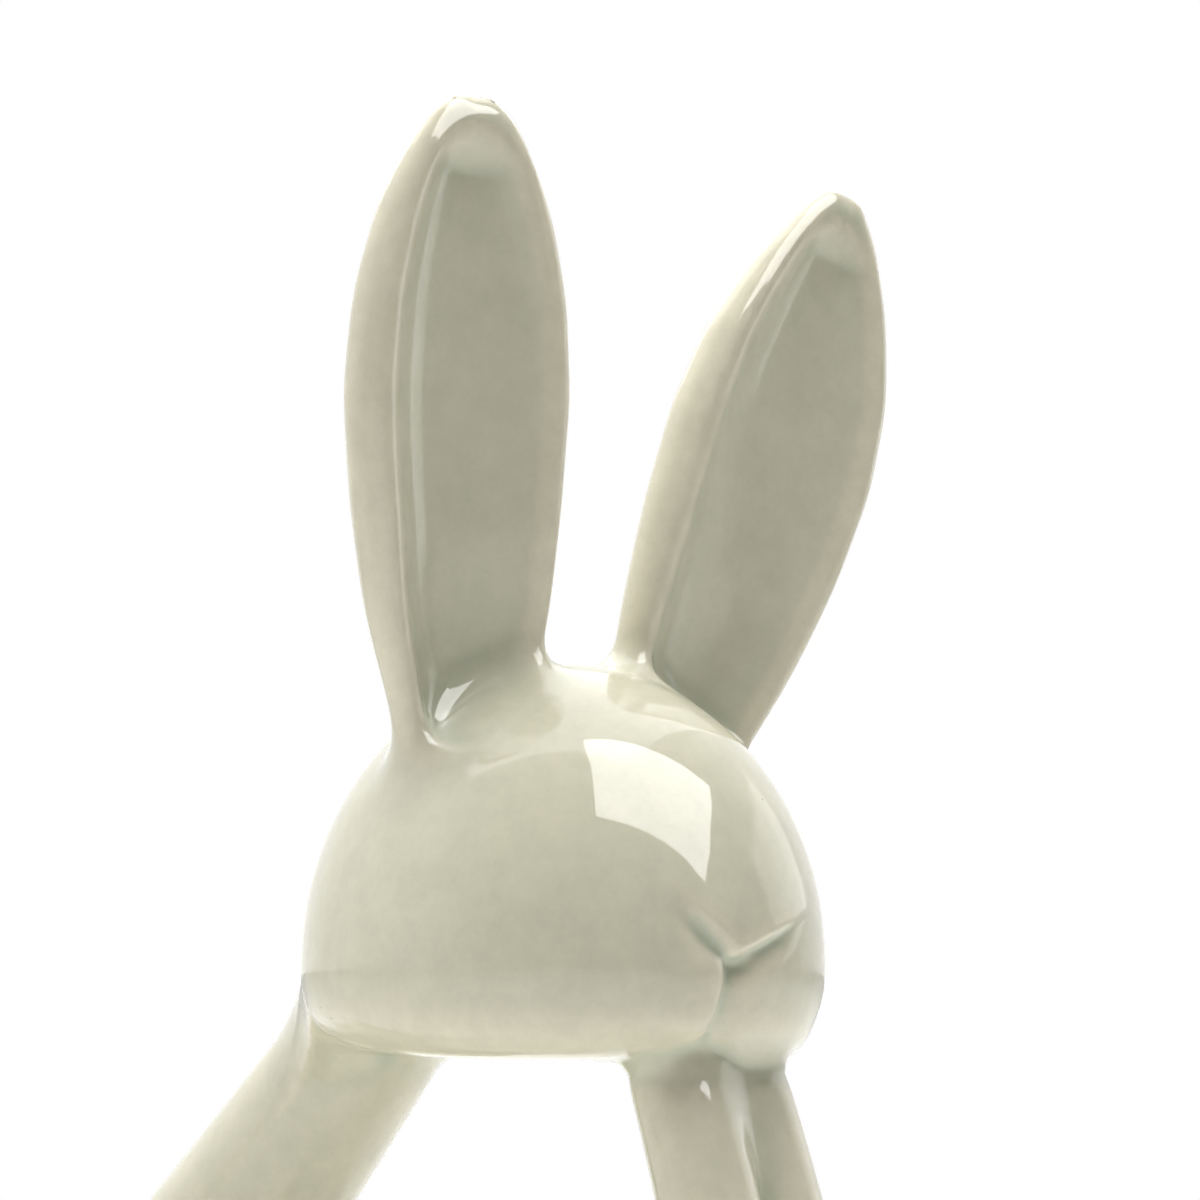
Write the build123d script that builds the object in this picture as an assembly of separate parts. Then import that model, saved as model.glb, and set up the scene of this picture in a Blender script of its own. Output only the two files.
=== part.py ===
"""Glazed rabbit figurine: separately cast clay pieces joined with slip, on felt pads.

Millimetres, +Z up. The rabbit faces -Y and its left side is +X.
The rabbit is laid out from the upright axis of its head, then moved so that
the origin is the middle of its outer box, on the floor.
"""
import os
from math import cos, radians, sin, sqrt

from build123d import *

# Clay
wall = 4.5              # thickness of the slip-cast shells
slip = 0.6              # thickness of the joining slip in a luted joint
slip_seat = 0.2         # what a curved layer of slip keeps from the pear under it

# Head: a dome over a shallower jaw, cut flat underneath
head_height = 104.0     # widest level of the head above the floor
head_radius = 37.7
crown_rise = 42.8       # top of the dome above the widest level
jaw_drop = 29.7         # how deep the jaw would be without its flat
underside_drop = 12.8   # flat underside below the widest level
underside_round = 6.0
head_turn = 10.0        # degrees that the head looks to its right

# Face: carved lines of the nose and mouth
face_line_radius = 1.3
nose_level = 1.0        # point of the nose above the widest level
nose_half_width = 9.9
nose_rise = 6.3
mouth_drop = 11.0       # lower end of the line under the nose

# Ears: leaves with a scooped front
ear_apart = 19.5        # each ear's root from the middle of the head
ear_forward = 2.2
ear_length = 84.0
ear_half_width = 20.5
ear_half_thickness = 8.2
ear_rim = 3.4           # rim left on each side of the scoop
ear_scoop = 9.0         # depth of the scoop
ear_lean_forward = 4.7  # degrees
ear_lean_right = 2.7    # degrees outward
ear_lean_left = 18.4
ear_place_shares = (-0.14, 0.0, 0.15, 0.32, 0.5, 0.66, 0.79, 0.9, 0.965)
ear_width_shares = (0.66, 0.74, 0.84, 0.94, 1.0, 0.94, 0.77, 0.52, 0.3)
ear_widest_share = 0.5
ear_scoop_end_share = 0.93

# Neck: a straight taper from the head down into the back
neck_rise = 28.8        # where the neck's line crosses the head's axis
neck_slope = 46.9       # degrees below level
neck_start = 38.0       # where the modelled neck begins, inside the head, along the neck's line
neck_start_radius = 10.4
neck_end = 100.0        # joint with the body, where the back begins to widen
neck_end_radius = 14.1

# Body: a pear standing on a flat base
back_place = (84.0, 42.5)       # behind the head's axis, above the floor
back_slope = 55.0
back_radii = (24.5, 22.5)       # across, and in the upright plane
loin_place = (93.0, 28.5)
loin_slope = 72.0
loin_radii = (35.5, 31.5)
rump_place = (97.0, 13.5)
rump_radii = (37.0, 33.0)
base_behind = 97.5
base_radii = (30.0, 26.0)
vent_radius = 3.5

# Forelegs: a pair side by side, straight down from the chin
leg_forward = 26.3      # in front of the head's axis, at the top of the bow
leg_reach = 17.0        # how much further forward it stands on the floor
leg_top_drop = 15.4     # top of the leg's bow below the widest level
leg_sink = 9.0          # how far the modelled leg goes on into the head
leg_apart = 6.6
leg_radius = 7.15
ankle_height = 14.0
ankle_apart = 7.6
ankle_radius = 8.2
paw_forward = 7.0       # middle of the paw in front of the ankle
paw_radii = (8.9, 17.0, 11.5)
paw_middle_height = 2.0

# Haunches, hind feet and tail
haunch_place = (35.0, 80.0, 27.0)   # to the side, behind the head's axis, above the floor
haunch_radii = (19.0, 29.0, 27.0)
foot_place = (39.0, 52.0)
foot_radii = (12.0, 35.0, 14.0)
tail_behind = 135.0
tail_height = 29.0
tail_radius = 12.0

# Felt pads
pad_thickness = 1.2
pad_radius = 4.5
rump_pad_apart = 16.0
rump_pad_behind = 105.0

reach = 4 * head_height     # longer than the figurine, for cutting


def ellipsoid(middle, radii):
    return Pos(*middle) * scale(Sphere(1), by=tuple(radii))


def above(height):
    return Pos(0, 0, height) * Box(reach, reach, reach, align=(Align.CENTER, Align.CENTER, Align.MIN))


def below(height):
    return Pos(0, 0, height) * Box(reach, reach, reach, align=(Align.CENTER, Align.CENTER, Align.MAX))


def oval(behind, height, slope, radii):
    """One cross-section of neck or body: it faces down the slope, behind the head."""
    facing = (0, cos(radians(slope)), -sin(radians(slope)))
    return Plane(origin=(0, behind, height), x_dir=(1, 0, 0), z_dir=facing) * Ellipse(*radii)


def along_neck(distance):
    return (
        distance * cos(radians(neck_slope)),
        head_height + neck_rise - distance * sin(radians(neck_slope)),
    )


def neck_plane(distance):
    behind, height = along_neck(distance)
    facing = (0, cos(radians(neck_slope)), -sin(radians(neck_slope)))
    return Plane(origin=(0, behind, height), x_dir=(1, 0, 0), z_dir=facing)


def one_solid(shape):
    """The main solid of a cut, without the crumbs that a cut can leave."""
    return shape.solids().sort_by(SortBy.VOLUME)[-1]


# Head
def dome(grow):
    crown = scale(Sphere(1), by=(head_radius + grow, head_radius + grow, crown_rise + grow)) & above(0)
    jaw = scale(Sphere(1), by=(head_radius + grow, head_radius + grow, jaw_drop + grow)) & below(0)
    jaw = jaw & above(-underside_drop - grow)
    return Pos(0, 0, head_height) * (crown + jaw)


def leg_centre(height):
    """How far in front of the head's axis a foreleg is: it bows forward, then stands upright."""
    top = head_height - leg_top_drop
    height_share = height / top
    return leg_forward + leg_reach * (1 - height_share**2)


def leg_loft(side):
    top = head_height - leg_top_drop
    middle = (top + ankle_height) / 2
    heights = (top + leg_sink, top, (top + middle) / 2, middle, ankle_height, 0)
    rings = []
    for height in heights:
        down_share = min(1, max(0, (top - height) / (top - ankle_height)))
        apart = leg_apart + (ankle_apart - leg_apart) * down_share
        radius = leg_radius + (ankle_radius - leg_radius) * down_share
        rings.append(Pos(side * apart, -leg_centre(height), height) * Circle(radius))
    return loft(rings)


def half_dome_height(offset):
    return crown_rise * sqrt(1 - (offset / head_radius) ** 2)


outer_dome = dome(0)
underside_edge = outer_dome.edges().sort_by(Axis.Z)[0]
outer_dome = fillet(underside_edge, underside_round)
hollow = dome(-wall)
neck_bore = neck_plane(neck_start) * Cylinder(
    neck_start_radius - wall, head_radius, align=(Align.CENTER, Align.CENTER, Align.MIN)
)


def face_point(side, rise):
    """A point on the front of the head, in the head's own facing."""
    depth = head_radius * sqrt(1 - (side / head_radius) ** 2)
    if rise < 0:
        share = sqrt(1 - (rise / jaw_drop) ** 2)
    else:
        share = sqrt(1 - (rise / crown_rise) ** 2)
    return Vector(side * share, -depth * share, head_height + rise)


def face_line(start, end):
    line = Line(start, end)
    tube = Plane(origin=start, z_dir=end - start) * Cylinder(
        face_line_radius, line.length, align=(Align.CENTER, Align.CENTER, Align.MIN)
    )
    return tube + Pos(*start) * Sphere(face_line_radius) + Pos(*end) * Sphere(face_line_radius)


nose_point = face_point(0, nose_level)
face_lines = face_line(nose_point, face_point(0, -mouth_drop))
for side in (-1, 1):
    face_lines += face_line(nose_point, face_point(side * nose_half_width, nose_rise))
face_lines = Rot(0, 0, -head_turn) * face_lines

head = one_solid(outer_dome - hollow - neck_bore - face_lines)


# Ears
def ear_leaf(lean):
    """One ear, standing on the origin before it is put on the head."""
    ovals = []
    scoops = []
    for place, width in zip(ear_place_shares, ear_width_shares):
        half = ear_half_width * width
        thick = ear_half_thickness * width
        if place < ear_widest_share:
            thick = ear_half_thickness * (width + 1) / 2
        level = Pos(0, 0, ear_length * place)
        ovals.append(level * Ellipse(half, thick))
        if place < ear_scoop_end_share:
            scoops.append(level * Pos(0, -thick, 0) * Ellipse(half - ear_rim, ear_scoop * width))
    leaf = loft([*ovals, Vertex(0, 0, ear_length)])
    hollow_end = Vertex(0, -ear_half_thickness * ear_width_shares[-1], ear_length * ear_scoop_end_share)
    leaf -= loft([*scoops, hollow_end])
    return Rot(ear_lean_forward, lean, 0) * leaf


ears = {}
ear_slips = {}
head_clear = dome(slip)
ear_root = head_height + half_dome_height(sqrt(ear_apart**2 + ear_forward**2))
for side, lean in ((-1, -ear_lean_right), (1, ear_lean_left)):
    leaf = Pos(side * ear_apart, -ear_forward, ear_root) * ear_leaf(lean)
    leaf = Rot(0, 0, -head_turn) * leaf
    ears[side] = one_solid(leaf - head_clear)
    ear_slips[side] = one_solid((leaf & head_clear) - outer_dome)


# Neck: a tapered tube from the head to the body
def neck_cone(grow):
    return loft(
        [
            neck_plane(neck_start) * Circle(neck_start_radius + grow),
            neck_plane(neck_end) * Circle(neck_end_radius + grow),
        ]
    )


neck_outer = neck_cone(0)
neck_hollow = neck_cone(-wall)
neck = one_solid(neck_outer - head_clear - neck_hollow)
neck_slip = one_solid((neck_outer & head_clear) - outer_dome - neck_hollow)


# Body
def body_loft(grow, start, base):
    return loft(
        [
            neck_plane(start) * Circle(neck_end_radius + grow),
            oval(*back_place, back_slope, [radius + grow for radius in back_radii]),
            oval(*loin_place, loin_slope, [radius + grow for radius in loin_radii]),
            oval(*rump_place, 90, [radius + grow for radius in rump_radii]),
            oval(base_behind, base, 90, [radius + grow for radius in base_radii]),
        ]
    )


body_outer = body_loft(0, neck_end + slip, pad_thickness)
body_hollow = body_loft(-wall, neck_end, pad_thickness + wall)
vent = Pos(0, base_behind, pad_thickness) * Cylinder(vent_radius, 3 * wall)
body = one_solid(body_outer - body_hollow - vent)
body_slip = neck_plane(neck_end) * (
    Cylinder(neck_end_radius, slip, align=(Align.CENTER, Align.CENTER, Align.MIN))
    - Cylinder(neck_end_radius - wall, slip, align=(Align.CENTER, Align.CENTER, Align.MIN))
)

# Forelegs: the left one is made, the right one is its mirror image
paw = ellipsoid((ankle_apart, -leg_centre(ankle_height) - paw_forward, paw_middle_height), paw_radii)
leg = (leg_loft(1) + paw) & above(pad_thickness)
leg_pair = leg + mirror(leg, about=Plane.YZ)
pair_gap = Box(slip, reach, 2 * reach)
left_side = Pos(slip / 2, 0, 0) * Box(
    reach, reach, 2 * reach, align=(Align.MIN, Align.CENTER, Align.CENTER)
)
leg = leg & left_side
foreleg = one_solid(leg - head_clear)
foreleg_slip = one_solid((leg & head_clear) - outer_dome)
foreleg_seam = one_solid((leg_pair & pair_gap) - head_clear)

# Haunches and hind feet, laid on the body's own surface
body_clear = body_loft(slip, neck_end, pad_thickness - slip)
body_seat = body_loft(slip_seat, neck_end, pad_thickness - slip)
haunch_whole = ellipsoid(haunch_place, haunch_radii) & above(pad_thickness)
haunch_clear = ellipsoid(haunch_place, [radius + slip for radius in haunch_radii])
haunch = one_solid(haunch_whole - body_clear)
haunch_slip = one_solid((haunch_whole & body_clear) - body_seat)
foot_whole = ellipsoid((*foot_place, 0), foot_radii) & above(pad_thickness)
foot = one_solid(foot_whole - haunch_clear - body_clear)
foot_slip = one_solid((foot_whole & haunch_clear) - haunch_whole - body_clear)

# Tail
ball = Pos(0, tail_behind, tail_height) * Sphere(tail_radius)
tail = one_solid(ball - body_clear)
tail_slip = one_solid((ball & body_clear) - body_seat)

# Felt pads
pad = Cylinder(pad_radius, pad_thickness, align=(Align.CENTER, Align.CENTER, Align.MIN))
paw_middle = -leg_centre(ankle_height) - paw_forward
pad_places = []
for side in (-1, 1):
    pad_places.append((side * ankle_apart, paw_middle, 0))
    pad_places.append((side * foot_place[0], foot_place[1], 0))
    pad_places.append((side * rump_pad_apart, rump_pad_behind, 0))
pads = Compound(children=[Pos(*place) * pad for place in pad_places])

nodes = {
    "head": head,
    "neck": neck,
    "body": body,
    "ear_right": ears[-1],
    "ear_left": ears[1],
    "tail": tail,
    "neck_slip": neck_slip,
    "body_slip": body_slip,
    "ear_slip_right": ear_slips[-1],
    "ear_slip_left": ear_slips[1],
    "foreleg_seam": foreleg_seam,
    "tail_slip": tail_slip,
    "felt_pads": pads,
}
left_pieces = {
    "foreleg": foreleg,
    "foreleg_slip": foreleg_slip,
    "haunch": haunch,
    "haunch_slip": haunch_slip,
    "hind_foot": foot,
    "foot_slip": foot_slip,
}
for name, piece in left_pieces.items():
    nodes[f"{name}_left"] = piece
    nodes[f"{name}_right"] = mirror(piece, about=Plane.YZ)

low = Vector(*(min(getattr(shape.bounding_box().min, axis) for shape in nodes.values()) for axis in "XYZ"))
high = Vector(*(max(getattr(shape.bounding_box().max, axis) for shape in nodes.values()) for axis in "XYZ"))
shift = Pos(-(low.X + high.X) / 2, -(low.Y + high.Y) / 2, 0)

os.makedirs("parts", exist_ok=True)
for name, shape in nodes.items():
    export_step(shift * shape, f"parts/{name}.step")
    print(name, round(shape.volume), [round(value, 1) for value in (shift * shape).bounding_box().size])
print("box", low, high, "moved", shift.position)
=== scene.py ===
# %% [markdown]
# # A glazed rabbit figurine
#
# The solids of the CAD model stand as the frame. This scene lays one soft, hand-finished skin
# over them, the way sponging and glaze hide the joints of the cast pieces, and then cuts that
# skin at the joints, so that every casting is still a piece of its own.

from math import cos, radians, sin

import bmesh
import bpy
import numpy as np
from mathutils import Matrix, Vector


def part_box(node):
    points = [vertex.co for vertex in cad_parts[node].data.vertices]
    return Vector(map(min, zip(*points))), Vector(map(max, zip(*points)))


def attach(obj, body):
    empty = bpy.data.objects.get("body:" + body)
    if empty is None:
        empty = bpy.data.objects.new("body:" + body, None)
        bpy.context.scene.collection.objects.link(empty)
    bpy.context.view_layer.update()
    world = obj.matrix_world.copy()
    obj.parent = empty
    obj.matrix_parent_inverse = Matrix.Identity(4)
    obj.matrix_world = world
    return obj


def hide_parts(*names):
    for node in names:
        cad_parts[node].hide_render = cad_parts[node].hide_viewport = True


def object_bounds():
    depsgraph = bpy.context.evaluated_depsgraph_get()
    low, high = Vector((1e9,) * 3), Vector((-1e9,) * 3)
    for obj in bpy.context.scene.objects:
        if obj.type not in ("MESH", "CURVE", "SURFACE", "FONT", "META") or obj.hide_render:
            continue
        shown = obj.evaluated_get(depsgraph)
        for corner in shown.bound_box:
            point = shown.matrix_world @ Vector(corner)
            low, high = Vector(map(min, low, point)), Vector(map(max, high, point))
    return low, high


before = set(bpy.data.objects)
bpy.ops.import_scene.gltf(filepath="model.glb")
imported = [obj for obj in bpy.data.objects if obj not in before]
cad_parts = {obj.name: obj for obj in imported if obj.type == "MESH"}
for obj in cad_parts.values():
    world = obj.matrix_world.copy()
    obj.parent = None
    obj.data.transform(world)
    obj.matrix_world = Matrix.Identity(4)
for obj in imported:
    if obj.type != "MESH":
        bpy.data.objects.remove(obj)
cad_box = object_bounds()
MM = 0.001

# %% [markdown]
# ## Sizes
#
# The sizes are those of the CAD model, in millimetres, measured from the upright axis of the
# head. `HEAD_AXIS` says where that axis stands in the frame, found from the tail's CAD node.

# %% Sizes
HEAD_HEIGHT = 104.0
HEAD_RADIUS = 37.7
CROWN_RISE = 42.8
JAW_DROP = 29.7
UNDERSIDE_DROP = 12.8
JAW_TILT = 0.16
JAW_EDGE = 7.0
WIDEST_BLEND = 9.0
FACE_REACH = (15.0, 25.0)
HEAD_TURN = radians(-10.0)
NECK_RISE = 28.8
NECK_SLOPE = radians(46.9)
NECK_START = 38.0
NECK_JOINT = 62.0
NECK_END = 100.0
NECK_RADII = (10.0, 13.7)
NAPE_REACH = (-9.0, -2.0)
NAPE_FILLETS = (5.0, 19.0)
NOSE_POINT = (-0.8, 1.4)
NOSE_NEAR_END = (-7.7, 7.9)
NOSE_FAR_END = (13.0, 6.0)
MOUTH_POINT = (-2.8, -8.8)
LIP_LINE = (
    (-20.0, -13.5), (-13.7, -11.8), (-8.5, -10.8), (-2.8, -8.8), (5.7, -12.2), (17.1, -13.9),
)
NOSE_POINT_FILLET = 1.0
NOSE_BLEND = 2.0
NOSE_EDGE = 1.7
NOSE_EDGE_LOSS = 0.9
NOSE_LIP = 0.75
NOSE_LIP_LOSS = 0.1
NOSE_LIP_TOP = 1.0
NOSE_LIP_FADE = 9.0
NOSE_GROOVE = 0.6
NOSE_GROOVE_AT = 1.2
NOSE_GROOVE_WIDTH = 1.7
GROOVE_END_SHARES = ((0.6, 1.15), (0.5, 1.05))
LIP_END_SHARES = ((0.3, 1.8), (0.3, 1.5))
STEM_DEPTH = 1.0
STEM_WIDTHS = (3.2, 1.4)
STEM_START_SHARES = (-0.1, 0.15)
STEM_END_SHARES = (0.95, 1.25)
SWELL_HEIGHT = 0.5
SWELL_ASIDE = 4.5
SWELL_WIDTH = 3.5
SWELL_START_SHARES = (-0.1, 0.3)
SWELL_END_SHARES = (0.9, 1.3)
CHIN_DEPTH = 1.5
CHIN_STEP = (-0.3, 2.2)
CHIN_NEAR = (-17.0, -4.0)
CHIN_FAR = (0.0, 16.0)
EAR_APART = 19.5
EAR_FORWARD = 2.2
EAR_LENGTH = 86.0
EAR_HALF_WIDTH = 19.2
EAR_HALF_THICKNESS = 8.2
EAR_RIM = 3.4
EAR_ROOT_RIM = 1.8
EAR_RIM_EDGE = 3.2
EAR_END_EDGE = 1.5
EAR_FILLET = 6.0
EAR_SCOOP = 9.0
LEAST_SCOOP = (0.6, 0.2)
ROOT_SCOOP_SHARE = 0.15
ROOT_END_SHARE = 0.3
SCOOP_END_SHARES = (0.86, 0.985)
THICK_ROOT_SHARES = (0.3, 0.6)
LEAST_WIDTH_SHARE = 0.03
EAR_MIDDLE_SHARE = 0.4
EAR_LEAN_FORWARD = radians(4.7)
EAR_LEANS = {"ear_right": radians(-2.7), "ear_left": radians(18.4)}
EAR_PLACES = (-0.3, -0.14, 0.0, 0.15, 0.32, 0.5, 0.66, 0.79, 0.9, 0.965, 1.0)
EAR_WIDTHS = {
    "ear_right": (0.4, 0.47, 0.61, 0.81, 0.93, 1.0, 0.94, 0.785, 0.545, 0.34, 0.0),
    "ear_left": (0.45, 0.55, 0.71, 0.87, 0.99, 1.035, 0.945, 0.74, 0.475, 0.28, 0.0),
}
EAR_BOWS = {"ear_right": (1.2, -0.7, 1.5), "ear_left": (1.1, 1.3, 1.3)}
LEG_FORWARD = 26.3
LEG_REACH = 18.5
CHIN_DROP = 15.4
LEG_APART = (6.6, 7.6)
LEG_RADIUS = (7.0, 8.2)
LEG_BEND = 1.7
LEG_LEAN_SHARE = 0.95
LEG_INTO_CHIN = 8.0
LEG_END_EDGE = 3.0
LEG_FILLETS = (9.0, 1.8)
LEG_PARTING_SHARE = 0.25
CHIN_FILLET = 3.0
ANKLE_HEIGHT = 14.0
RING_DEPTH = 0.2
RING_WIDTH = 1.5
PAW_FORWARD = 7.0
PAW_RADII = (8.9, 17.0, 11.5)
PAW_MIDDLE = 2.0
PAW_FILLET = 6.0
RUMP_MIDDLE = (0.0, 97.5, 13.8)
RUMP_RADII = (35.1, 29.6, 18.0)
BACK_MIDDLE = (0.0, 95.1, 33.2)
BACK_RADII = (27.3, 26.1, 22.9)
BACK_SLOPE = radians(37.2)
BACK_FILLET = 30.0
NECK_FILLET = 16.0
SEAT_MIDDLE = (0.0, 95.5, 18.0)
SEAT_RADII = (37.2, 33.4, 28.5)
HAUNCH_MIDDLE = (35.0, 80.0, 27.0)
HAUNCH_RADII = (19.0, 29.0, 27.0)
HAUNCH_FILLET = 5.0
FOOT_MIDDLE = (39.0, 52.0, 0.0)
FOOT_RADII = (12.0, 35.0, 14.0)
FOOT_FILLET = 4.0
TAIL_MIDDLE = (0.0, 135.0, 29.0)
TAIL_RADIUS = 12.0
TAIL_FILLET = 4.0
VENT_BEHIND = 97.5
VENT_RADIUS = 3.5
VENT_DEPTH = 9.0
VENT_EDGE = 0.8
BASE_EDGE = 1.5
PAD_THICKNESS = 1.2
PAD_RADIUS = 4.5
RUMP_PAD_APART = 16.0
RUMP_PAD_BEHIND = 105.0
GRID = 1.1
MARGIN = 3 * GRID
POOL_REACH = 1.5

CHIN_JOINT = HEAD_HEIGHT - CHIN_DROP
HEAD_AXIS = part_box("tail")[1][1] / MM - TAIL_MIDDLE[1] - TAIL_RADIUS
print("head axis stands at y", round(HEAD_AXIS, 2), "mm")

# %% [markdown]
# ## Shapes as fields
#
# Each form is a field: a number at every point of space, negative inside the clay and positive
# outside, close to the distance to its surface. `melt` joins two forms with a soft fillet, and
# `carve` keeps what is inside both with a rounded edge.

# %% Fields
def melt(a, b, fillet):
    share = np.clip(0.5 + 0.5 * (b - a) / fillet, 0, 1)
    return b + (a - b) * share - fillet * share * (1 - share)


def carve(a, b, edge):
    return -melt(-a, -b, edge)


def ellipsoid(p, middle, radii):
    q = (p - np.array(middle)) / radii
    near = np.linalg.norm(q, axis=1)
    slope = np.linalg.norm(q / radii, axis=1) + 1e-9
    return near * (near - 1) / slope


def turned(p, angle):
    c, s = cos(angle), sin(angle)
    return np.stack([c * p[:, 0] + s * p[:, 1], -s * p[:, 0] + c * p[:, 1], p[:, 2]], axis=1)


def pitched(p, slope):
    """Points in the axes of a slope that runs down and behind: across, down along it, out of it."""
    c, s = cos(slope), sin(slope)
    return np.stack([p[:, 0], c * p[:, 1] - s * p[:, 2], s * p[:, 1] + c * p[:, 2]], axis=1)


def rise(x, start, end):
    """0 before start, 1 after end, smooth between."""
    t = np.clip((x - start) / (end - start), 0, 1)
    return t * t * (3 - 2 * t)


def bump(x, width):
    return np.exp(-((x / width) ** 2))


def beside(s, z, start, end):
    """Share of the way along a line on the face, and the distance to the left of it."""
    way = np.array(end) - np.array(start)
    length = np.hypot(*way)
    along = ((s - start[0]) * way[0] + (z - start[1]) * way[1]) / length**2
    aside = ((z - start[1]) * way[0] - (s - start[0]) * way[1]) / length
    return along, aside


def face_relief(s, z):
    """How far the clay of the face stands out, at a place to the side and above the widest level."""
    along_near, near = beside(s, z, NOSE_POINT, NOSE_NEAR_END)
    along_far, far = beside(s, z, NOSE_POINT, NOSE_FAR_END)
    near = -near
    pad = melt(near, far, NOSE_POINT_FILLET)
    soft = rise(near - far, -NOSE_BLEND, NOSE_BLEND)

    def ending(near_shares, far_shares):
        return (1 - rise(along_near, *near_shares)) * (1 - soft) + (1 - rise(along_far, *far_shares)) * soft

    edge = NOSE_EDGE - NOSE_EDGE_LOSS * soft
    lip = (NOSE_LIP - NOSE_LIP_LOSS * soft) * rise(pad, -edge, edge)
    lip = lip * np.exp(-np.maximum(pad - NOSE_LIP_TOP, 0) / NOSE_LIP_FADE)
    groove = NOSE_GROOVE * bump(pad + NOSE_GROOVE_AT, NOSE_GROOVE_WIDTH)
    relief = ending(*LIP_END_SHARES) * lip - ending(*GROOVE_END_SHARES) * groove
    along_stem, stem = beside(s, z, NOSE_POINT, MOUTH_POINT)
    valley = STEM_DEPTH * bump(stem, np.where(stem > 0, *STEM_WIDTHS))
    relief -= valley * rise(along_stem, *STEM_START_SHARES) * (1 - rise(along_stem, *STEM_END_SHARES))
    swell = SWELL_HEIGHT * bump(stem + SWELL_ASIDE, SWELL_WIDTH)
    relief += swell * rise(along_stem, *SWELL_START_SHARES) * (1 - rise(along_stem, *SWELL_END_SHARES))
    lip_line = np.interp(s, *zip(*LIP_LINE))
    chin = rise(lip_line - z, *CHIN_STEP) * rise(s, *CHIN_NEAR) * (1 - rise(s, *CHIN_FAR))
    return relief - CHIN_DEPTH * chin


def head_field(p):
    q = turned(p, HEAD_TURN) - np.array((0, 0, HEAD_HEIGHT))
    high = JAW_DROP + (CROWN_RISE - JAW_DROP) * rise(q[:, 2:], -WIDEST_BLEND, WIDEST_BLEND)
    radii = np.concatenate([np.full((len(q), 2), HEAD_RADIUS), high], axis=1)
    dome = ellipsoid(q, (0, 0, 0), radii)
    dome = dome - face_relief(q[:, 0], q[:, 2]) * rise(-q[:, 1], *FACE_REACH)
    underside = -UNDERSIDE_DROP - JAW_TILT * np.maximum(q[:, 0], 0)
    return carve(dome, underside - q[:, 2], JAW_EDGE)


def neck_field(p):
    along = (p[:, 1] * cos(NECK_SLOPE)) - (p[:, 2] - HEAD_HEIGHT - NECK_RISE) * sin(NECK_SLOPE)
    along = np.clip(along, NECK_START, NECK_END)
    y = along * cos(NECK_SLOPE)
    z = HEAD_HEIGHT + NECK_RISE - along * sin(NECK_SLOPE)
    radius = np.interp(along, (NECK_START, NECK_END), NECK_RADII)
    return np.linalg.norm(p - np.stack([0 * y, y, z], axis=1), axis=1) - radius


def ear_places(p, name):
    """Points in an ear's own axes: across, behind, along."""
    side = -1 if name == "ear_right" else 1
    lean = EAR_LEANS[name]
    reach = np.hypot(EAR_APART, EAR_FORWARD) / HEAD_RADIUS
    root = np.array((side * EAR_APART, -EAR_FORWARD, HEAD_HEIGHT + CROWN_RISE * np.sqrt(1 - reach**2)))
    q = turned(p, HEAD_TURN) - root
    x = q[:, 0] * cos(lean) - q[:, 2] * sin(lean)
    z = q[:, 0] * sin(lean) + q[:, 2] * cos(lean)
    y = q[:, 1]
    return np.stack(
        [
            x,
            y * cos(EAR_LEAN_FORWARD) + z * sin(EAR_LEAN_FORWARD),
            z * cos(EAR_LEAN_FORWARD) - y * sin(EAR_LEAN_FORWARD),
        ],
        axis=1,
    )


def ear_widths(shares):
    """The leaf's half-width along its length, as a smooth table with a rounded tip."""
    known = np.sqrt(1 - np.array(EAR_PLACES[::-1]))
    steps = np.linspace(0, known[-1], 400)
    widths = np.interp(steps, known, shares[::-1])
    soft = np.hanning(41)
    soft /= soft.sum()
    padded = np.pad(widths, 20, mode="reflect", reflect_type="odd")
    return 1 - steps[::-1] ** 2, np.convolve(padded, soft, mode="valid")[::-1]


EAR_TABLES = {name: ear_widths(shares) for name, shares in EAR_WIDTHS.items()}


def flat_oval(across, deep, half, thick):
    q = np.stack([across / half, deep / thick], axis=1)
    near = np.linalg.norm(q, axis=1)
    slope = np.linalg.norm(np.stack([q[:, 0] / half, q[:, 1] / thick], axis=1), axis=1) + 1e-9
    return near * (near - 1) / slope


def ear_field(p, name):
    q = ear_places(p, name)
    place = q[:, 2] / EAR_LENGTH
    root, tip, middle = EAR_BOWS[name]
    up = np.clip(place, 0, 1)
    outward = -1 if name == "ear_right" else 1
    q[:, 0] -= outward * (root + tip * up + 4 * middle * up * (1 - up))
    width = np.maximum(np.interp(place, *EAR_TABLES[name]), LEAST_WIDTH_SHARE)
    half = EAR_HALF_WIDTH * width
    widest = EAR_TABLES[name][1].max()
    root_gain = (widest - width) / 2 * (1 - rise(place, *THICK_ROOT_SHARES))
    thick = EAR_HALF_THICKNESS * (width + root_gain)
    leaf = flat_oval(q[:, 0], q[:, 1], half, thick)
    past_end = np.abs(place - EAR_MIDDLE_SHARE) - (1 - EAR_MIDDLE_SHARE)
    leaf = carve(leaf, EAR_LENGTH * past_end, EAR_END_EDGE)
    rim = np.interp(place, (0, ROOT_END_SHARE), (EAR_ROOT_RIM, EAR_RIM))
    scoop_half = np.maximum(half - rim, LEAST_SCOOP[0])
    full = EAR_SCOOP * thick / EAR_HALF_THICKNESS
    full = full * (1 + ROOT_SCOOP_SHARE * (1 - rise(place, 0, ROOT_END_SHARE)))
    deep = np.maximum(full * (1 - rise(place, *SCOOP_END_SHARES)), LEAST_SCOOP[1])
    scoop = flat_oval(q[:, 0], q[:, 1] + thick, scoop_half, deep)
    return carve(leaf, -scoop, EAR_RIM_EDGE)


def leg_middle(z):
    return -(LEG_FORWARD + LEG_REACH * (1 - np.maximum(z / CHIN_JOINT, 0) ** LEG_BEND))


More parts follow.
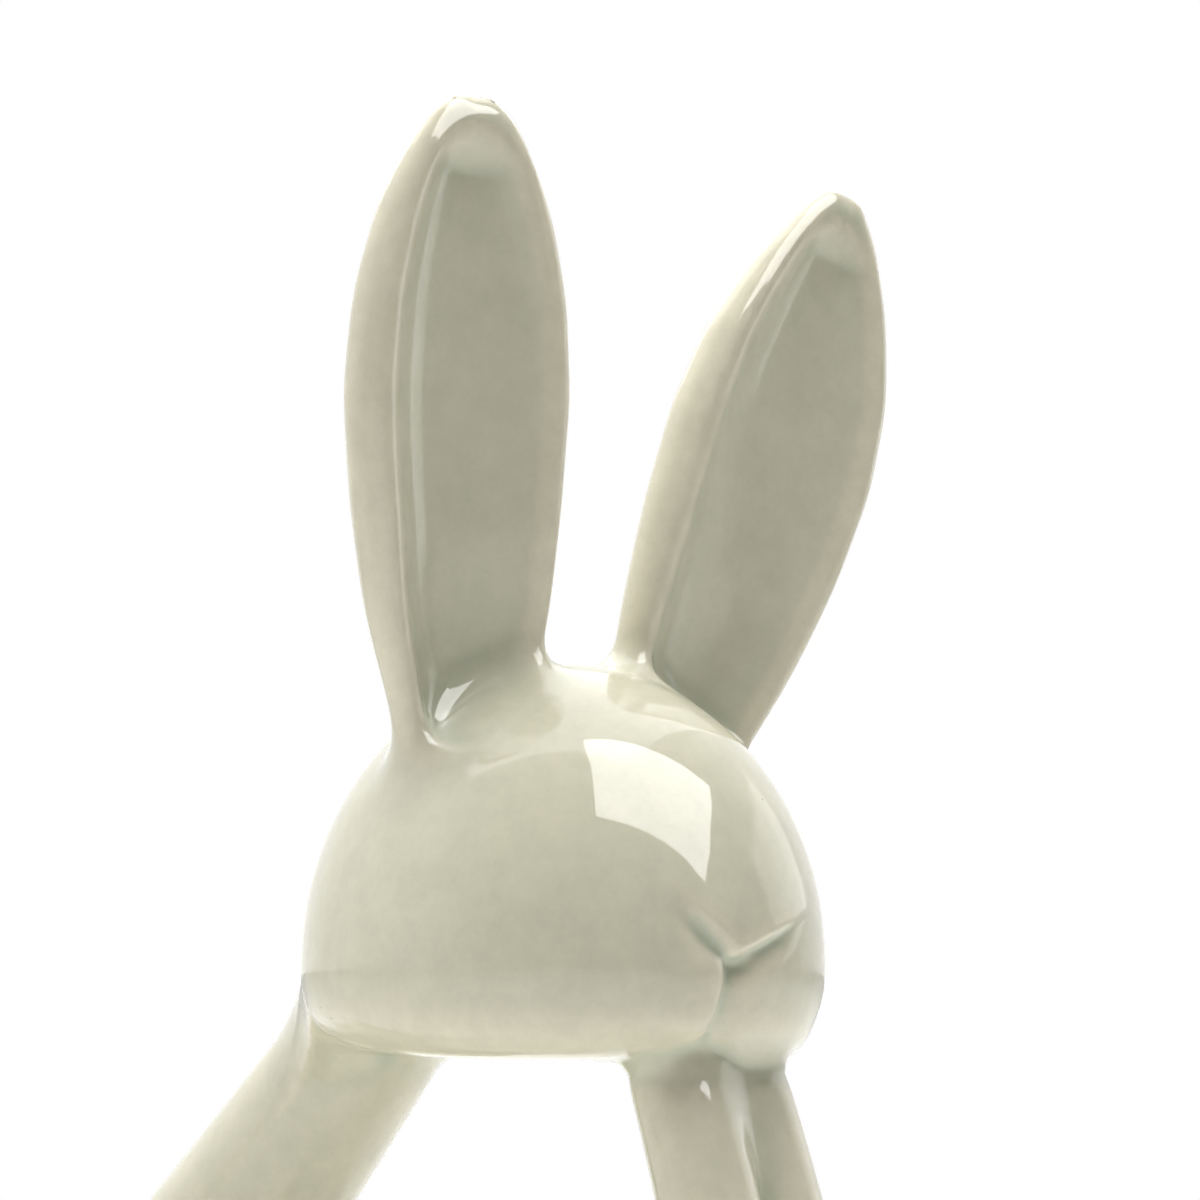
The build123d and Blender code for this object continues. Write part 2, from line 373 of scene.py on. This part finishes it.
def leg_field(p):
    down = (CHIN_JOINT - p[:, 2]) / (CHIN_JOINT - ANKLE_HEIGHT)
    apart = np.interp(down, (0, 1), LEG_APART)
    radius = np.interp(down, (0, 1), LEG_RADIUS)
    legs = []
    for side in (-1, 1):
        leg = np.hypot(p[:, 0] - side * apart, p[:, 1] - leg_middle(p[:, 2])) - radius
        leg = carve(LEG_LEAN_SHARE * leg, p[:, 2] - CHIN_JOINT - LEG_INTO_CHIN, LEG_END_EDGE)
        paw_middle = (side * LEG_APART[1], leg_middle(ANKLE_HEIGHT) - PAW_FORWARD, PAW_MIDDLE)
        legs.append(melt(leg, ellipsoid(p, paw_middle, PAW_RADII), PAW_FILLET))
    pair = melt(*legs, np.interp(down, (0, LEG_PARTING_SHARE), LEG_FILLETS))
    return pair + RING_DEPTH * bump(p[:, 2] - CHIN_JOINT, RING_WIDTH)


def figure_field(p):
    back = ellipsoid(pitched(p - np.array(BACK_MIDDLE), BACK_SLOPE), (0, 0, 0), BACK_RADII)
    body = melt(ellipsoid(p, RUMP_MIDDLE, RUMP_RADII), back, BACK_FILLET)
    body = melt(body, neck_field(p), NECK_FILLET)
    mirrored = np.abs(p) * (1, 0, 0) + p * (0, 1, 1)
    body = melt(body, ellipsoid(mirrored, HAUNCH_MIDDLE, HAUNCH_RADII), HAUNCH_FILLET)
    body = melt(body, ellipsoid(mirrored, FOOT_MIDDLE, FOOT_RADII), FOOT_FILLET)
    tail = np.linalg.norm(p - np.array(TAIL_MIDDLE), axis=1) - TAIL_RADIUS
    body = melt(body, tail, TAIL_FILLET)
    head = head_field(p)
    for name in EAR_LEANS:
        head = melt(head, ear_field(p, name), EAR_FILLET)
    head = melt(head, leg_field(p), CHIN_FILLET)
    above_neck = p[:, 1] * sin(NECK_SLOPE) + (p[:, 2] - HEAD_HEIGHT - NECK_RISE) * cos(NECK_SLOPE)
    whole = melt(head, body, np.interp(above_neck, NAPE_REACH, NAPE_FILLETS))
    whole = carve(whole, PAD_THICKNESS - p[:, 2], BASE_EDGE)
    vent = np.hypot(p[:, 0], p[:, 1] - VENT_BEHIND) - VENT_RADIUS
    return carve(whole, -np.maximum(vent, p[:, 2] - VENT_DEPTH), VENT_EDGE)

# %% [markdown]
# ## The skin
#
# A grid is laid through the figurine. Each cell that the surface passes through gets one point,
# the point slides down the field's slope until it lies on the surface, and each grid edge that
# crosses the surface gets one four-sided face between the points around it.

# %% Skin
EASE_SHARE = 0.6


def slope_of(field, p, h=0.05):
    steps = np.eye(3) * h
    return np.stack([(field(p + s) - field(p - s)) / (2 * h) for s in steps], axis=1)


def onto_surface(field, p, rounds):
    for _ in range(rounds):
        g = slope_of(field, p)
        move = field(p)[:, None] * g / ((g**2).sum(axis=1, keepdims=True) + 1e-6)
        p = p - np.clip(move, -GRID, GRID)
    return p


def sampled(field, low, high):
    lines = [np.arange(a, b + GRID, GRID) for a, b in zip(low, high)]
    yy, zz = np.meshgrid(lines[1], lines[2], indexing="ij")
    sheets = []
    for x in lines[0]:
        sheet = np.stack([np.full(yy.size, x), yy.ravel(), zz.ravel()], axis=1)
        sheets.append(field(sheet).reshape(yy.shape))
    return np.stack(sheets) < 0


def four_sided(inside, number):
    quads = []
    for axis in range(3):
        u, v = (axis + 1) % 3, (axis + 2) % 3
        first = np.moveaxis(np.moveaxis(inside, axis, 0)[:-1], 0, axis)
        second = np.moveaxis(np.moveaxis(inside, axis, 0)[1:], 0, axis)
        edges = np.argwhere(first != second)
        around = []
        for du, dv in ((-1, -1), (0, -1), (0, 0), (-1, 0)):
            cell = edges.copy()
            cell[:, u] += du
            cell[:, v] += dv
            around.append(number[tuple(cell.T)])
        quad = np.stack(around, axis=1)
        backwards = ~first[tuple(edges.T)]
        quad[backwards] = quad[backwards][:, ::-1]
        quads.append(quad)
    return np.concatenate(quads)


def relaxed(field, p, quads, rounds):
    for _ in range(rounds):
        total = np.zeros_like(p)
        count = np.zeros(len(p))
        for a, b in ((0, 1), (1, 2), (2, 3), (3, 0)):
            np.add.at(total, quads[:, a], p[quads[:, b]])
            np.add.at(total, quads[:, b], p[quads[:, a]])
            np.add.at(count, quads[:, a], 1)
            np.add.at(count, quads[:, b], 1)
        middle = total / count[:, None]
        p = onto_surface(field, p + EASE_SHARE * (middle - p), 2)
    return p


def skin_of(field, low, high):
    inside = sampled(field, low, high)
    corners = [
        inside[i : inside.shape[0] - 1 + i, j : inside.shape[1] - 1 + j, k : inside.shape[2] - 1 + k]
        for i in (0, 1)
        for j in (0, 1)
        for k in (0, 1)
    ]
    filled = np.sum(corners, axis=0)
    mixed = (filled > 0) & (filled < 8)
    cells = np.argwhere(mixed)
    number = np.full(mixed.shape, -1)
    number[mixed] = np.arange(len(cells))
    points = np.array(low) + (cells + 0.5) * GRID
    quads = four_sided(inside, number)
    points = onto_surface(field, points, 4)
    return relaxed(field, points, quads, 3), quads


to_axis = np.array((0, HEAD_AXIS, 0))
points, quads = skin_of(
    figure_field,
    np.array(cad_box[0]) / MM - to_axis - MARGIN,
    np.array(cad_box[1]) / MM - to_axis + MARGIN,
)
print("skin of", len(points), "points and", len(quads), "faces")

# %% [markdown]
# ## Cutting the skin at the joints
#
# A joint is a flat cut: a point on it, the way it faces, and a test for the part of the skin that
# it may touch. Where a ball or leaf grows out of a rounded form, the cut lies on that form's
# tangent plane, a hair outside it.

# %% Joints
EAR_LIFT = 1.5
TAIL_LIFT = 1.0
HAUNCH_LIFT = 0.5
FOOT_LIFT = 0.8
FOOT_AIM = (0.0, 8.0, 5.0)
TAIL_NEAR = 20.0
EAR_NEAR = (1.0, 8.0)
HIND_LEG_NEAR = 2.5
FACE_BELOW = 3.0
FACE_FINE = 21.0
FACE_LAID = 24.0


def tangent(middle, radii, towards, lift):
    """The plane that touches an ellipsoid on the side of a point, moved outward by lift."""
    middle, radii, towards = map(np.array, (middle, radii, towards))
    way = towards - middle
    on = middle + way / np.linalg.norm(way / radii)
    facing = (on - middle) / radii**2
    facing = facing / np.linalg.norm(facing)
    return on + lift * facing, facing


def ear_cut(name):
    side = -1 if name == "ear_right" else 1
    root = np.array((side * EAR_APART, -EAR_FORWARD, HEAD_HEIGHT + CROWN_RISE))
    head_radii = (HEAD_RADIUS, HEAD_RADIUS, CROWN_RISE)
    on, facing = tangent((0, 0, HEAD_HEIGHT), head_radii, root, EAR_LIFT)
    return turned(on[None], -HEAD_TURN)[0], turned(facing[None], -HEAD_TURN)[0]


neck_way = np.array((0, cos(NECK_SLOPE), -sin(NECK_SLOPE)))
neck_at = np.array((0, 0, HEAD_HEIGHT + NECK_RISE)) + NECK_JOINT * neck_way
CUTS = {
    "neck": (neck_at, neck_way, lambda p: p[:, 1] > 0),
    "body": (neck_at + (NECK_END - NECK_JOINT) * neck_way, neck_way, lambda p: p[:, 1] > 0),
    "chin": ((0, 0, CHIN_JOINT), (0, 0, -1), lambda p: p[:, 1] < 0),
    "between_legs": ((0, 0, 0), (1, 0, 0), lambda p: (p[:, 1] < 0) & (p[:, 2] < CHIN_JOINT + 0.01)),
    "tail": (
        *tangent(SEAT_MIDDLE, SEAT_RADII, TAIL_MIDDLE, TAIL_LIFT),
        lambda p: p[:, 1] > TAIL_MIDDLE[1] - TAIL_NEAR,
    ),
}


def near_hind_leg(side):
    """True close to one haunch and hind foot."""

    def test(p):
        q = p * (side, 1, 1)
        thigh = ellipsoid(q, HAUNCH_MIDDLE, HAUNCH_RADII)
        foot = ellipsoid(q, FOOT_MIDDLE, FOOT_RADII)
        return np.minimum(thigh, foot) < HIND_LEG_NEAR

    return test


def near_ear(side):
    """True on one ear's half of the crown and above."""
    return lambda p: (side * p[:, 0] > EAR_NEAR[0]) & (p[:, 2] > HEAD_HEIGHT + EAR_NEAR[1])


for name in EAR_LEANS:
    CUTS[name] = (*ear_cut(name), near_ear(-1 if name == "ear_right" else 1))
for side, word in ((-1, "right"), (1, "left")):
    haunch = np.array(HAUNCH_MIDDLE) * (side, 1, 1)
    foot = np.array(FOOT_MIDDLE) * (side, 1, 1)
    CUTS["haunch_" + word] = (*tangent(SEAT_MIDDLE, SEAT_RADII, haunch, HAUNCH_LIFT), near_hind_leg(side))
    at_foot = tangent(haunch, HAUNCH_RADII, foot + np.array(FOOT_AIM), FOOT_LIFT)
    CUTS["hind_foot_" + word] = (*at_foot, near_hind_leg(side))


def beyond(cut, p):
    at, facing, near = CUTS[cut]
    return ((p - np.array(at)) @ np.array(facing) > 0) & near(p)


def piece_names(p):
    """The casting that each point of the skin belongs to."""
    names = np.full(len(p), "head", dtype=object)
    names[beyond("neck", p)] = "neck"
    names[beyond("body", p)] = "body"
    names[beyond("tail", p)] = "tail"
    legs = beyond("chin", p)
    names[legs] = np.where(p[legs][:, 0] < 0, "foreleg_right", "foreleg_left")
    for ear in EAR_LEANS:
        names[beyond(ear, p)] = ear
    for word in ("right", "left"):
        thigh = beyond("haunch_" + word, p)
        names[thigh] = "haunch_" + word
        names[thigh & beyond("hind_foot_" + word, p)] = "hind_foot_" + word
    return names


def finer_face(bm):
    """Splits the faces around the nose and mouth in nine and lays the new points on the surface."""
    nose = turned(np.array([(0, -HEAD_RADIUS, HEAD_HEIGHT - FACE_BELOW)]), -HEAD_TURN)[0]
    near = [f for f in bm.faces if (f.calc_center_median() - Vector(nose)).length < FACE_FINE]
    edges = list({e for f in near for e in f.edges})
    bmesh.ops.subdivide_edges(bm, edges=edges, cuts=2, use_grid_fill=True)
    close = [v for v in bm.verts if (v.co - Vector(nose)).length < FACE_LAID]
    placed = onto_surface(figure_field, np.array([v.co for v in close]), 3)
    for v, co in zip(close, placed):
        v.co = co


def cut_skin(points, quads):
    mesh = bpy.data.meshes.new("skin")
    mesh.from_pydata(points.tolist(), [], quads.tolist())
    bm = bmesh.new()
    bm.from_mesh(mesh)
    bpy.data.meshes.remove(mesh)
    finer_face(bm)
    for at, facing, near in CUTS.values():
        all_faces = list(bm.faces)
        touched = near(np.array([f.calc_center_median() for f in all_faces]))
        faces = [f for f, touch in zip(all_faces, touched) if touch]
        around = {v for f in faces for v in f.verts} | {e for f in faces for e in f.edges}
        bmesh.ops.bisect_plane(
            bm, geom=faces + list(around), dist=1e-4, plane_co=Vector(at), plane_no=Vector(facing)
        )
    bm.verts.index_update()
    vertices = np.array([v.co for v in bm.verts])
    faces = [[v.index for v in f.verts] for f in bm.faces]
    centres = np.array([f.calc_center_median() for f in bm.faces])
    bm.free()
    return vertices, faces, piece_names(centres)


vertices, faces, names = cut_skin(points, quads)
print({str(n): int((names == n).sum()) for n in np.unique(names)})

# %% [markdown]
# ## One mesh for each casting
#
# A piece takes its own faces, and each hole that a cut left is closed with a flat cap. The
# normals come from the field, so that light runs over a joint without a break. The attribute
# `pool` is high in hollows, where liquid glaze gathers, and low on edges, where it runs thin.

# %% Pieces
def hollowness(field, p, h):
    around = sum(field(p + s) + field(p - s) for s in np.eye(3) * h)
    return -(around - 6 * field(p)) / h**2


def make_piece(name, faces):
    used = sorted({i for f in faces for i in f})
    place = {old: new for new, old in enumerate(used)}
    skin = vertices[used]
    mesh = bpy.data.meshes.new(name)
    mesh.from_pydata(((skin + to_axis) * MM).tolist(), [], [[place[i] for i in f] for f in faces])
    bm = bmesh.new()
    bm.from_mesh(mesh)
    open_edges = [e for e in bm.edges if e.is_boundary]
    caps = bmesh.ops.holes_fill(bm, edges=open_edges, sides=0)["faces"]
    bmesh.ops.triangulate(bm, faces=caps)
    bm.to_mesh(mesh)
    bm.free()
    mesh.polygons.foreach_set("use_smooth", [True] * len(mesh.polygons))
    normals = slope_of(figure_field, skin)
    normals /= np.linalg.norm(normals, axis=1, keepdims=True)
    mesh.normals_split_custom_set_from_vertices(normals.tolist())
    pool = mesh.attributes.new("pool", "FLOAT", "POINT")
    pool.data.foreach_set("value", hollowness(figure_field, skin, POOL_REACH))
    piece = bpy.data.objects.new("glazed_" + name, mesh)
    bpy.context.scene.collection.objects.link(piece)
    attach(piece, "root")
    return piece


SLIP_OF = {
    "neck": ("neck_slip",),
    "body": ("body_slip",),
    "ear_right": ("ear_slip_right",),
    "ear_left": ("ear_slip_left",),
    "foreleg_right": ("foreleg_slip_right", "foreleg_seam"),
    "foreleg_left": ("foreleg_slip_left",),
    "haunch_right": ("haunch_slip_right",),
    "haunch_left": ("haunch_slip_left",),
    "hind_foot_right": ("foot_slip_right",),
    "hind_foot_left": ("foot_slip_left",),
    "tail": ("tail_slip",),
}
pieces = {}
for name in np.unique(names):
    own = [f for f, n in zip(faces, names) if n == name]
    pieces[name] = make_piece(str(name), own)
    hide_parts(str(name), *SLIP_OF.get(name, ()))
    print(name, len(pieces[name].data.polygons), "faces")

# %% [markdown]
# ## Materials
#
# Colours are given as sRGB hex and turned to linear light by one function.

# %% Materials
CLOUD_SIZE = 6.0
SPECK_SPACING = 8.0
RIPPLE_SIZE = 5.0
RIPPLE_HEIGHT = 0.2
BARE_HEIGHTS = (1.9, 1.3)
FIBRE_SIZE = 0.6


def linear(hex_code):
    parts = [int(hex_code[i : i + 2], 16) / 255 for i in (1, 3, 5)]
    return [*((c / 12.92 if c <= 0.04045 else ((c + 0.055) / 1.055) ** 2.4) for c in parts), 1.0]


def add(tree, kind, settings=(), **links):
    """Adds a node, sets its properties, and links or sets its inputs by name."""
    node = tree.nodes.new(kind)
    for key, value in dict(settings).items():
        setattr(node, key, value)
    for key, value in links.items():
        socket = node.inputs[key.replace("_", " ")]
        if isinstance(value, bpy.types.NodeSocket):
            tree.links.new(value, socket)
        else:
            socket.default_value = value
    return node


def new_material(name):
    material = bpy.data.materials.new(name)
    material.use_nodes = True
    tree = material.node_tree
    tree.nodes.clear()
    return material, tree


def celadon_glaze():
    """Pale in general, greener where it pools, with faint clouds, a few specks and a bare base."""
    material, tree = new_material("celadon glaze on stoneware")
    where = add(tree, "ShaderNodeTexCoord").outputs["Object"]
    pool = add(tree, "ShaderNodeAttribute", {"attribute_name": "pool"}).outputs["Fac"]
    depth = add(tree, "ShaderNodeMapRange", Value=pool, From_Min=-0.25, From_Max=0.45)
    tint = add(
        tree,
        "ShaderNodeMixRGB",
        Fac=depth.outputs[0],
        Color1=linear("#d2ccb6"),
        Color2=linear("#b3b8a3"),
    )
    clouds = add(
        tree, "ShaderNodeTexNoise", Vector=where, Scale=1 / (CLOUD_SIZE * MM), Detail=6.0, Roughness=0.75
    )
    cloud = add(
        tree, "ShaderNodeMapRange", Value=clouds.outputs["Fac"], From_Min=0.35, From_Max=0.7, To_Max=0.3
    )
    clouded = add(
        tree,
        "ShaderNodeMixRGB",
        Fac=cloud.outputs[0],
        Color1=tint.outputs[0],
        Color2=linear("#9fa08c"),
    )
    cells = add(tree, "ShaderNodeTexVoronoi", Vector=where, Scale=1 / (SPECK_SPACING * MM))
    dot = add(tree, "ShaderNodeMapRange", Value=cells.outputs["Distance"], From_Min=0.024, From_Max=0.012)
    pick = add(tree, "ShaderNodeSeparateColor", Color=cells.outputs["Color"])
    chosen = add(tree, "ShaderNodeMath", {"operation": "GREATER_THAN"})
    tree.links.new(pick.outputs[0], chosen.inputs[0])
    chosen.inputs[1].default_value = 0.72
    speck = add(tree, "ShaderNodeMath", {"operation": "MULTIPLY"})
    tree.links.new(dot.outputs[0], speck.inputs[0])
    tree.links.new(chosen.outputs[0], speck.inputs[1])
    specked = add(
        tree,
        "ShaderNodeMixRGB",
        Fac=speck.outputs[0],
        Color1=clouded.outputs[0],
        Color2=linear("#6f6a5a"),
    )
    height = add(tree, "ShaderNodeSeparateXYZ", Vector=where).outputs["Z"]
    bare = add(tree, "ShaderNodeMapRange", Value=height)
    bare.inputs["From Min"].default_value = BARE_HEIGHTS[0] * MM
    bare.inputs["From Max"].default_value = BARE_HEIGHTS[1] * MM
    colour = add(
        tree,
        "ShaderNodeMixRGB",
        Fac=bare.outputs[0],
        Color1=specked.outputs[0],
        Color2=linear("#d8cdb8"),
    )
    gloss = add(tree, "ShaderNodeMapRange", Value=bare.outputs[0], To_Min=0.05, To_Max=0.85)
    ripple = add(tree, "ShaderNodeTexNoise", Vector=where, Scale=1 / (RIPPLE_SIZE * MM), Detail=1.0)
    bump_node = add(
        tree, "ShaderNodeBump", Height=ripple.outputs["Fac"], Strength=0.12, Distance=RIPPLE_HEIGHT * MM
    )
    shader = add(
        tree,
        "ShaderNodeBsdfPrincipled",
        Base_Color=colour.outputs[0],
        Roughness=gloss.outputs[0],
        Normal=bump_node.outputs[0],
        IOR=1.52,
    )
    out = add(tree, "ShaderNodeOutputMaterial")
    tree.links.new(shader.outputs[0], out.inputs[0])
    return material


def wool_felt():
    material, tree = new_material("wool felt")
    where = add(tree, "ShaderNodeTexCoord").outputs["Object"]
    fibres = add(tree, "ShaderNodeTexNoise", Vector=where, Scale=1 / (FIBRE_SIZE * MM), Detail=3.0)
    colour = add(
        tree,
        "ShaderNodeMixRGB",
        Fac=fibres.outputs["Fac"],
        Color1=linear("#8d8272"),
        Color2=linear("#b5aa98"),
    )
    shader = add(tree, "ShaderNodeBsdfPrincipled", Base_Color=colour.outputs[0], Roughness=0.95)
    out = add(tree, "ShaderNodeOutputMaterial")
    tree.links.new(shader.outputs[0], out.inputs[0])
    return material


glaze = celadon_glaze()
felt = wool_felt()
for piece in pieces.values():
    piece.data.materials.append(glaze)
print("materials:", glaze.name, "and", felt.name)

# %% [markdown]
# ## Felt pads
#
# Six round pads repeat under the paws, the hind feet and the rump, so they come from Geometry
# Nodes: a disc is put on each of six points.

# %% Pads
def pad_tree():
    tree = bpy.data.node_groups.new("felt pads", "GeometryNodeTree")
    face = tree.interface
    face.new_socket("Geometry", in_out="INPUT", socket_type="NodeSocketGeometry")
    radius = face.new_socket("Pad radius", in_out="INPUT", socket_type="NodeSocketFloat").identifier
    thickness = face.new_socket("Pad thickness", in_out="INPUT", socket_type="NodeSocketFloat")
    thickness = thickness.identifier
    face.new_socket("Geometry", in_out="OUTPUT", socket_type="NodeSocketGeometry")
    given = tree.nodes.new("NodeGroupInput")
    disc = add(tree, "GeometryNodeMeshCylinder", Vertices=40)
    tree.links.new(given.outputs["Pad radius"], disc.inputs["Radius"])
    tree.links.new(given.outputs["Pad thickness"], disc.inputs["Depth"])
    placed = add(
        tree, "GeometryNodeInstanceOnPoints", Points=given.outputs["Geometry"], Instance=disc.outputs[0]
    )
    real = add(tree, "GeometryNodeRealizeInstances", Geometry=placed.outputs[0])
    dressed = add(tree, "GeometryNodeSetMaterial", Geometry=real.outputs[0], Material=felt)
    out = tree.nodes.new("NodeGroupOutput")
    tree.links.new(dressed.outputs[0], out.inputs[0])
    return tree, {radius: PAD_RADIUS * MM, thickness: PAD_THICKNESS * MM}


paw_behind = leg_middle(ANKLE_HEIGHT) - PAW_FORWARD
pad_places = []
for side in (-1, 1):
    for x, y in ((LEG_APART[1], paw_behind), FOOT_MIDDLE[:2], (RUMP_PAD_APART, RUMP_PAD_BEHIND)):
        pad_places.append((side * x * MM, (y + HEAD_AXIS) * MM, PAD_THICKNESS * MM / 2))
points_mesh = bpy.data.meshes.new("pad places")
points_mesh.from_pydata(pad_places, [], [])
maker = bpy.data.objects.new("pad maker", points_mesh)
bpy.context.scene.collection.objects.link(maker)
modifier = maker.modifiers.new("pads", "NODES")
modifier.node_group, pad_sizes = pad_tree()
for identifier, value in pad_sizes.items():
    modifier[identifier] = value
made = maker.evaluated_get(bpy.context.evaluated_depsgraph_get())
pads_mesh = bpy.data.meshes.new_from_object(made)
bpy.data.objects.remove(maker)
pads = bpy.data.objects.new("wool_felt_pads", pads_mesh)
bpy.context.scene.collection.objects.link(pads)
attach(pads, "root")
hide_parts("felt_pads")
print("pads:", len(pads_mesh.polygons), "faces")

# %% [markdown]
# ## Camera
#
# The camera stands half a metre from the head, a little above its widest part, and looks slightly
# up, as the picture shows the upper part of the figurine.

# %% Camera
PIXELS = 1200
PIXEL_SIZE = 0.145
DISTANCE = 500.0
AZIMUTH = radians(-50.0)
EYE = (5.2, 13.0)
PITCH = radians(4.48)

right = np.array((cos(AZIMUTH), sin(AZIMUTH), 0))
back = np.array((sin(AZIMUTH), -cos(AZIMUTH), 0))
eye = np.array((0, HEAD_AXIS, HEAD_HEIGHT + EYE[1])) + EYE[0] * right + DISTANCE * back
camera_data = bpy.data.cameras.new("camera")
camera_data.sensor_width = 36.0
camera_data.lens = 36.0 * DISTANCE / (PIXELS * PIXEL_SIZE)
camera_data.clip_start = 0.01
camera = bpy.data.objects.new("camera", camera_data)
camera.location = eye * MM
camera.rotation_euler = (radians(90) + PITCH, 0, AZIMUTH)
bpy.context.scene.collection.objects.link(camera)
bpy.context.scene.camera = camera

# %% [markdown]
# ## Light
#
# The room is white all round and dark only towards the front, where the photographer stands. A
# window and an overhead panel show in the gloss, the ceiling lights the crown, and a side panel
# does both. Places and sizes of the lamps are in metres, from the middle of the head.

# %% Light
FLOOR_REACH = 2.0
WINDOW_AT = (0.106, -0.386, 0.564)
WINDOW_ACROSS = (0.804, -0.421, -0.42)
WINDOW_SIZE = (0.56, 0.46)
WINDOW_POWER = 5.8
CEILING_AT = (-0.03, -0.05, 0.9)
CEILING_SIZE = (0.7, 0.6)
CEILING_POWER = 12.5
OVERHEAD_AT = (0.25, 0.3, 0.85)
OVERHEAD_ACROSS = (0.766, 0.643, 0)
OVERHEAD_SIZE = (1.3, 1.2)
OVERHEAD_POWER = 8.0
SIDE_AT = (0.75, -0.25, 0.22)
SIDE_SIZE = (0.5, 0.35)
SIDE_POWER = 0.5
DARK_SIDE = (-0.24, -0.967, 0.087)
DARK_SPREAD = (-0.4, 0.6)
ROOM_LEVELS = (1.12, 0.04)

scene = bpy.context.scene
scene.view_settings.view_transform = "Standard"


def white_to_camera(tree, shader, kind):
    """Pure white where the camera looks straight at it, the given shader for all other light."""
    path = add(tree, "ShaderNodeLightPath")
    plain = add(tree, kind, Color=(1, 1, 1, 1), Strength=1.0)
    mix = add(tree, "ShaderNodeMixShader")
    tree.links.new(path.outputs["Is Camera Ray"], mix.inputs[0])
    tree.links.new(shader.outputs[0], mix.inputs[1])
    tree.links.new(plain.outputs[0], mix.inputs[2])
    return mix


floor_mesh = bpy.data.meshes.new("floor")
corners = [(x * FLOOR_REACH, y * FLOOR_REACH, 0) for x, y in ((-1, -1), (1, -1), (1, 1), (-1, 1))]
floor_mesh.from_pydata(corners, [], [(0, 1, 2, 3)])
floor = bpy.data.objects.new("floor", floor_mesh)
scene.collection.objects.link(floor)
material, tree = new_material("white paper floor")
paper = add(tree, "ShaderNodeBsdfDiffuse", Color=linear("#f2f2f0"))
mix = white_to_camera(tree, paper, "ShaderNodeEmission")
out = add(tree, "ShaderNodeOutputMaterial")
tree.links.new(mix.outputs[0], out.inputs[0])
floor_mesh.materials.append(material)

world = bpy.data.worlds.new("studio")
scene.world = world
world.use_nodes = True
tree = world.node_tree
tree.nodes.clear()
direction = add(tree, "ShaderNodeTexCoord").outputs["Generated"]
toward = add(tree, "ShaderNodeVectorMath", {"operation": "DOT_PRODUCT"})
tree.links.new(direction, toward.inputs[0])
toward.inputs[1].default_value = DARK_SIDE
level = add(
    tree,
    "ShaderNodeMapRange",
    {"interpolation_type": "SMOOTHSTEP"},
    Value=toward.outputs["Value"],
    From_Min=DARK_SPREAD[0],
    From_Max=DARK_SPREAD[1],
    To_Min=ROOM_LEVELS[0],
    To_Max=ROOM_LEVELS[1],
)
room = add(tree, "ShaderNodeBackground", Color=(1, 1, 1, 1), Strength=level.outputs[0])
mix = white_to_camera(tree, room, "ShaderNodeBackground")
out = add(tree, "ShaderNodeOutputWorld")
tree.links.new(mix.outputs[0], out.inputs[0])


def soft_box(name, middle, across, size, power, shows=True, lights=True):
    """A rectangle of light that faces the head: it shows in the gloss, lights the colour, or both."""
    data = bpy.data.lights.new(name, "AREA")
    data.shape = "RECTANGLE"
    data.size, data.size_y = size
    data.energy = power
    out_of = Vector(middle).normalized()
    wide = (Vector(across) - Vector(across).dot(out_of) * out_of).normalized()
    lamp = bpy.data.objects.new(name, data)
    lamp.matrix_world = Matrix((wide, out_of.cross(wide), out_of)).transposed().to_4x4()
    lamp.location = Vector(middle) + Vector((0, HEAD_AXIS * MM, HEAD_HEIGHT * MM))
    lamp.visible_glossy = shows
    lamp.visible_diffuse = lights
    scene.collection.objects.link(lamp)


soft_box("window", WINDOW_AT, WINDOW_ACROSS, WINDOW_SIZE, WINDOW_POWER, lights=False)
soft_box("ceiling", CEILING_AT, (1, 0, 0), CEILING_SIZE, CEILING_POWER, shows=False)
soft_box("overhead panel", OVERHEAD_AT, OVERHEAD_ACROSS, OVERHEAD_SIZE, OVERHEAD_POWER, lights=False)
soft_box("side panel", SIDE_AT, (0, 1, 0), SIDE_SIZE, SIDE_POWER)
print("lights set")
